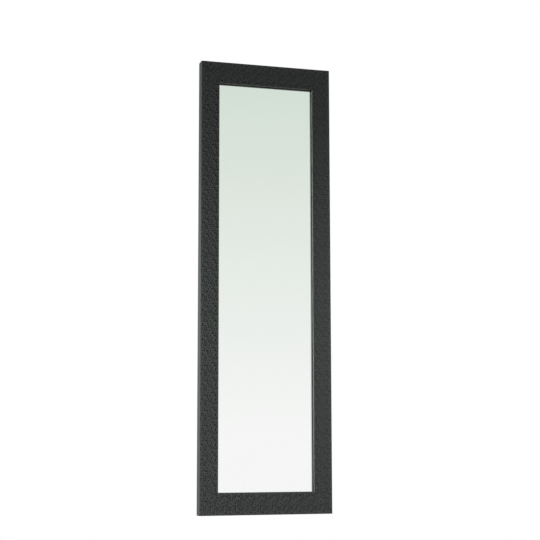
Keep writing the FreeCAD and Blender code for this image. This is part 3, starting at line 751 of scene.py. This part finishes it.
def make_strap(side, pivot, material):
    """Hanger strap: a flat section with eased corners carried up the stile and round the ring's bar.

    The path runs up the back, then round a circle about the ring's axis. The section's half width is the
    strap's, and falls as a half circle at the lower end.
    """
    half, bore, reach, sweep = 7.5 * MM, 1.7 * MM, 42 * MM, math.radians(300)
    # The half circle starts just off its pole, so the lower end has a narrow flat
    tip, straight_steps, corner_steps = 0.06, 12, 4
    ease = settings("hardware").edge_ease
    bend = bore + STRAP_SHEET / 2
    drop = np.linspace(tip, math.pi / 2, BEND_STEPS // 2)
    end = reach + half * np.cos(drop)
    straight = np.linspace(reach, 0, straight_steps)[1:-1]
    turn = np.linspace(0, sweep, 2 * BEND_STEPS)
    path_y = np.concatenate([np.full(len(end) + len(straight), -bend), -bend * np.cos(turn)])
    path_z = np.concatenate([-end, -straight, bend * np.sin(turn)])
    lean = np.concatenate([np.zeros(len(end) + len(straight)), turn])
    width = np.concatenate([half * np.sin(drop), np.full(len(straight) + len(turn), half)])
    corner = np.linspace(0, math.pi / 2, corner_steps)
    around = np.concatenate([corner, corner + math.pi / 2, corner + math.pi, corner + 3 * math.pi / 2])
    side_x = np.repeat([1, -1, -1, 1], len(corner))
    side_t = np.repeat([1, 1, -1, -1], len(corner))
    aside = side_x * np.maximum(width - ease, 0)[:, None] + np.minimum(width, ease)[:, None] * np.cos(around)
    rise = side_t * (STRAP_SHEET / 2 - ease) + ease * np.sin(around)
    points = np.stack([pivot.x + aside, pivot.y + path_y[:, None] + np.cos(lean)[:, None] * rise,
                       pivot.z + path_z[:, None] - np.sin(lean)[:, None] * rise], axis=-1)
    faces = carried_faces(*points.shape[:2])
    piece = make_piece(f"{side}_strap_folded", points.reshape(-1, 3), faces, [material])
    fit_piece(piece, "frame", "zinc_steel", f"{side}_hanger_strap")


def make_ring(side, pivot, material):
    """Hanger ring: a round wire carried along a closed D of bar, bend, leg, half-round bow, leg and bend."""
    bar_steps = 10
    wire, half, bend, leg, lean = 1.5 * MM, 12 * MM, 4 * MM, 4 * MM, math.radians(2.6)
    corner = np.linspace(0, math.pi / 2, BEND_STEPS // 2)
    bow = np.linspace(0, math.pi, 2 * BEND_STEPS)
    bar = np.linspace(-1, 1, bar_steps)[1:-1] * (half - bend)
    along = np.concatenate([bar, half - bend + bend * np.sin(corner), half * np.cos(bow),
                            bend - half - bend * np.cos(corner)])
    rise = np.concatenate([np.zeros_like(bar), bend - bend * np.cos(corner), bend + leg + half * np.sin(bow),
                           bend - bend * np.sin(corner)])
    path = np.stack([along, rise], axis=-1)
    tangent = np.roll(path, -1, axis=0) - np.roll(path, 1, axis=0)
    tangent /= np.linalg.norm(tangent, axis=1, keepdims=True)
    outward = np.stack([tangent[:, 1], -tangent[:, 0]], axis=-1)
    turn = np.linspace(0, 2 * math.pi, WIRE_STEPS, endpoint=False)
    flat = path[:, None] + wire * np.cos(turn)[:, None] * outward[:, None]
    off = np.broadcast_to(wire * np.sin(turn), flat.shape[:2])
    points = np.stack([pivot.x + flat[..., 0], pivot.y - flat[..., 1] * math.sin(lean) + off * math.cos(lean),
                       pivot.z + flat[..., 1] * math.cos(lean) + off * math.sin(lean)], axis=-1)
    faces = grid_faces(*points.shape[:2], close_rows=True, close_columns=True)
    piece = make_piece(f"{side}_ring_wire", points.reshape(-1, 3), [faces], [material])
    fit_piece(piece, f"{side}_ring", "zinc_steel", f"{side}_hanger_ring")


class WALLMIRROR_OT_hangers(bpy.types.Operator):
    """Makes the two hanger straps, their rings and screws, and finishes the nails in the mitres."""
    bl_idname = "wall_mirror.hangers"
    bl_label = "Hangers"

    def execute(self, context):
        holes = (15 * MM, 38 * MM)
        zinc = zinc_plating()
        seats = []
        for side in ("left", "right"):
            pivot = PIVOTS[f"{side}_ring"]
            make_strap(side, pivot, zinc)
            make_ring(side, pivot, zinc)
            seats += [(pivot.x, BACK + STRAP_SHEET, pivot.z - hole) for hole in holes]
        make_screws("hanger_screw_set", "hanger_screws", seats, zinc)
        dress_node("v_nails", zinc)
        return {"FINISHED"}


class WALLMIRROR_OT_bumpers(bpy.types.Operator):
    """Makes the four wall bumpers: tapered discs with a rounded rim and a slightly dished face."""
    bl_idname = "wall_mirror.bumpers"
    bl_label = "Wall bumpers"

    def execute(self, context):
        look = settings("hardware")
        # Moulded rubber: black, matt and faintly grainy
        rubber = mottled("moulded rubber", look.bumper, look.bumper_dark, 1.5 * MM, (0.6, 0.75), 0.05 * MM)
        base, face, rim, dish = 8 * MM, 6.5 * MM, 1.2 * MM, 0.4 * MM
        innermost, dish_steps, rim_steps = 0.2, 5, 7
        # The face is dished by (1 - s²) of the share s of its radius; a quarter round and the taper follow
        share = np.linspace(innermost, 1, dish_steps)[:-1]
        quarter = np.linspace(0, math.pi / 2, rim_steps)
        radii = np.concatenate([share * (face - rim), face - rim + rim * np.sin(quarter), [base]])
        for place in ("top_left", "top_right", "bottom_left", "bottom_right"):
            node = f"wall_bumper_{place}"
            low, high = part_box(node)
            middle = (low + high) / 2
            heights = np.concatenate([high.y - dish * (1 - share ** 2),
                                      high.y - rim + rim * np.cos(quarter), [low.y]])
            rings = turned_points(radii, heights, TURN_STEPS).reshape(-1, 3)
            poles = np.array([[0, high.y - dish, 0], [0, low.y, 0]])
            points = np.concatenate([poles[:1], rings, poles[1:]]) + np.array([middle.x, 0, middle.z])
            piece = make_piece(f"{node}_moulded", points, lathe_faces(len(radii), TURN_STEPS), [rubber])
            fit_piece(piece, "frame", "bumper_rubber", node)
        return {"FINISHED"}


def studio_floor():
    """Painted studio floor: matt and pale, and nearly white to the camera and in the mirror."""
    look = settings("stage")
    material, add, shader = new_material("pale studio floor")
    feed(shader, {"Base Color": look.floor, "Roughness": 0.9})
    path = add("LightPath").outputs
    mirrored = add("Math", {0: path["Is Glossy Ray"], 1: path["Is Transmission Ray"]}, operation="MAXIMUM")
    seen = add("Math", {0: path["Is Camera Ray"], 1: mirrored}, operation="MAXIMUM")
    tint = add("Mix", {0: mirrored, 6: WHITE, 7: linear(MIRRORED_FLOOR)}, data_type="RGBA")
    white = add("Emission", {"Color": tint})
    # Seen from anywhere, the floor gets whiter outwards and so has no edge; the shadow stays near the middle
    place = add("TexCoord").outputs["Object"]
    flat = add("VectorMath", {0: place, 1: (1, 1, 0)}, operation="MULTIPLY")
    out = add("VectorMath", {0: flat}, operation="LENGTH")
    near, far = FLOOR_NEAR * look.floor_radius, FLOOR_FAR * look.floor_radius
    whiter = add("MapRange", {"Value": out, "From Min": near, "From Max": far, "To Min": FLOOR_WHITE},
                 interpolation_type="SMOOTHSTEP")
    share = add("Math", {0: seen, 1: whiter}, operation="MULTIPLY")
    mixed = add("MixShader", {0: share, 1: shader, 2: white})
    feed(material.node_tree.nodes["Material Output"], {"Surface": mixed})
    return material


def make_floor():
    """Round floor: rings of points about the middle, as a turned disc without thickness."""
    look = settings("stage")
    steps, rings = 96, 4
    radii = np.linspace(0, look.floor_radius, rings + 1)[1:]
    points = turned_points(radii, np.zeros(rings), steps)[..., [0, 2, 1]].reshape(-1, 3)
    points[:, 2] = BOTTOM - look.hang_height
    fan = np.arange(steps)[None, :]
    faces = [*fan.tolist(), *grid_faces(rings, steps, close_columns=True)[:, ::-1].tolist()]
    mesh = bpy.data.meshes.new("floor")
    mesh.from_pydata(points, [], faces)
    mesh.materials.append(studio_floor())
    add_object("floor", mesh)


def elevation_ramp(add, way, levels):
    """Colours that follow each other from straight down to straight up, given by elevation in degrees."""
    up = add("SeparateXYZ", {0: way}).outputs["Z"]
    share = add("MapRange", {"Value": up, "From Min": -1.0})
    ramp = add("ValToRGB", {"Fac": share})
    stops = ramp.color_ramp.elements
    for _ in levels[2:]:
        stops.new(1.0)
    for stop, (elevation, code) in zip(stops, levels):
        stop.position = (1 + math.sin(math.radians(elevation))) / 2
        stop.color = linear(code)
    return ramp


def make_world():
    """Studio round the object: white to the camera and pale in the mirror, with walls that light the object.

    The wall in front is bright at eye level and dim above and below.
    """
    # Limits halfway between whole numbers of bounces
    one_bounce, no_bounce = 1.5, 0.5
    world = bpy.data.worlds.new("studio")
    bpy.context.scene.world = world
    world.use_nodes = True
    world.node_tree.nodes.clear()
    add = partial(add_node, world.node_tree)
    way = add("TexCoord").outputs["Generated"]
    wall, pale, rear = (elevation_ramp(add, way, levels) for levels in (FRONT_WALL, MIRRORED_WALL, REAR_WALL))
    depth = add("SeparateXYZ", {0: way}).outputs["Y"]
    behind = add("MapRange", {"Value": depth, "From Min": REAR_START, "From Max": REAR_FULL})
    around = add("Mix", {0: behind, 6: wall, 7: rear}, data_type="RGBA")
    # What the camera sees in the mirror itself: a ray out of the glass after one reflection and nothing else
    path = add("LightPath").outputs
    once = add("Math", {0: path["Glossy Depth"], 1: one_bounce}, operation="LESS_THAN")
    clean = add("Math", {0: path["Diffuse Depth"], 1: no_bounce}, operation="LESS_THAN")
    direct = add("Math", {0: once, 1: clean}, operation="MULTIPLY")
    mirrored = add("Math", {0: direct, 1: path["Is Transmission Ray"]}, operation="MULTIPLY")
    shown = add("Mix", {0: mirrored, 6: around, 7: pale}, data_type="RGBA")
    # A soft box behind the camera lights the sides that face left
    level = math.cos(BOX_RISE)
    aim = (-math.sin(BOX_TURN) * level, -math.cos(BOX_TURN) * level, math.sin(BOX_RISE))
    near = add("VectorMath", {0: way, 1: aim}, operation="DOT_PRODUCT")
    boxed = add("MapRange", {"Value": near, "From Min": math.cos(BOX_RIM), "From Max": math.cos(BOX_CORE),
                             "To Max": BOX_POWER})
    power = add("Math", {0: boxed, 1: 1.0}, operation="ADD")
    walls = add("Background", {"Color": shown, "Strength": power})
    white = add("Background", {"Color": WHITE})
    mixed = add("MixShader", {0: path["Is Camera Ray"], 1: walls, 2: white})
    add("OutputWorld", {"Surface": mixed})


def make_lamp(name, place, target, width, tall, power):
    """Soft box that shines from a place towards a target and isn't seen itself, not even as gloss."""
    light = bpy.data.lights.new(name, "AREA")
    light.shape = "RECTANGLE"
    light.size = width
    light.size_y = tall
    light.energy = power
    lamp = add_object(name, light)
    lamp.location = place
    lamp.rotation_euler = (Vector(target) - Vector(place)).to_track_quat("-Z", "Y").to_euler()
    lamp.visible_camera = False
    lamp.visible_glossy = False
    lamp.visible_transmission = False


class WALLMIRROR_OT_stage(bpy.types.Operator):
    """Sets the floor, the studio, the lamps and the camera at the photograph's viewing angle."""
    bl_idname = "wall_mirror.stage"
    bl_label = "Stage"

    def execute(self, context):
        look = settings("stage")
        make_floor()
        make_world()
        for name, values in LAMPS.items():
            make_lamp(name, *values)
        data = bpy.data.cameras.new("camera")
        data.lens = look.lens
        data.sensor_width = SENSOR_WIDTH
        camera = add_object("camera", data)
        upright = Euler((math.pi / 2 + look.pitch, 0, -look.yaw)).to_matrix()
        facing = upright @ Matrix.Rotation(look.roll, 3, "Z")
        camera.matrix_world = Matrix.LocRotScale(Vector(look.camera), facing, None)
        context.scene.camera = camera
        context.scene.view_settings.view_transform = "Standard"
        return {"FINISHED"}


class VIEW3D_PT_wall_mirror(bpy.types.Panel):
    """Lists the settings and the operators in the sidebar."""
    bl_label = "Wall Mirror"
    bl_idname = "VIEW3D_PT_wall_mirror"
    bl_space_type = "VIEW_3D"
    bl_region_type = "UI"
    bl_category = "Wall Mirror"

    def draw(self, context):
        for group in GROUPS:
            box = self.layout.box()
            box.label(text=group.title())
            for name in GROUPS[group].__annotations__:
                box.prop(settings(group), name)
        for operator in OPERATORS:
            self.layout.operator(operator.bl_idname)


GROUPS = {
    "moulding": MouldingSettings,
    "glass": GlassSettings,
    "back": BackSettings,
    "hardware": HardwareSettings,
    "stage": StageSettings,
}
OPERATORS = (
    WALLMIRROR_OT_moulding,
    WALLMIRROR_OT_glass,
    WALLMIRROR_OT_back,
    WALLMIRROR_OT_turn_buttons,
    WALLMIRROR_OT_hangers,
    WALLMIRROR_OT_bumpers,
    WALLMIRROR_OT_stage,
)


def register():
    for item in (*GROUPS.values(), *OPERATORS, VIEW3D_PT_wall_mirror):
        bpy.utils.register_class(item)
    for group, kind in GROUPS.items():
        setattr(bpy.types.Scene, f"wall_mirror_{group}", PointerProperty(type=kind))


def unregister():
    for group in GROUPS:
        delattr(bpy.types.Scene, f"wall_mirror_{group}")
    for item in (VIEW3D_PT_wall_mirror, *reversed(OPERATORS), *reversed(GROUPS.values())):
        bpy.utils.unregister_class(item)


def main():
    register()
    bpy.ops.wall_mirror.moulding()
    bpy.ops.wall_mirror.glass()
    bpy.ops.wall_mirror.back()
    bpy.ops.wall_mirror.turn_buttons()
    bpy.ops.wall_mirror.hangers()
    bpy.ops.wall_mirror.bumpers()
    bpy.ops.wall_mirror.stage()


if __name__ == "__main__":
    main()
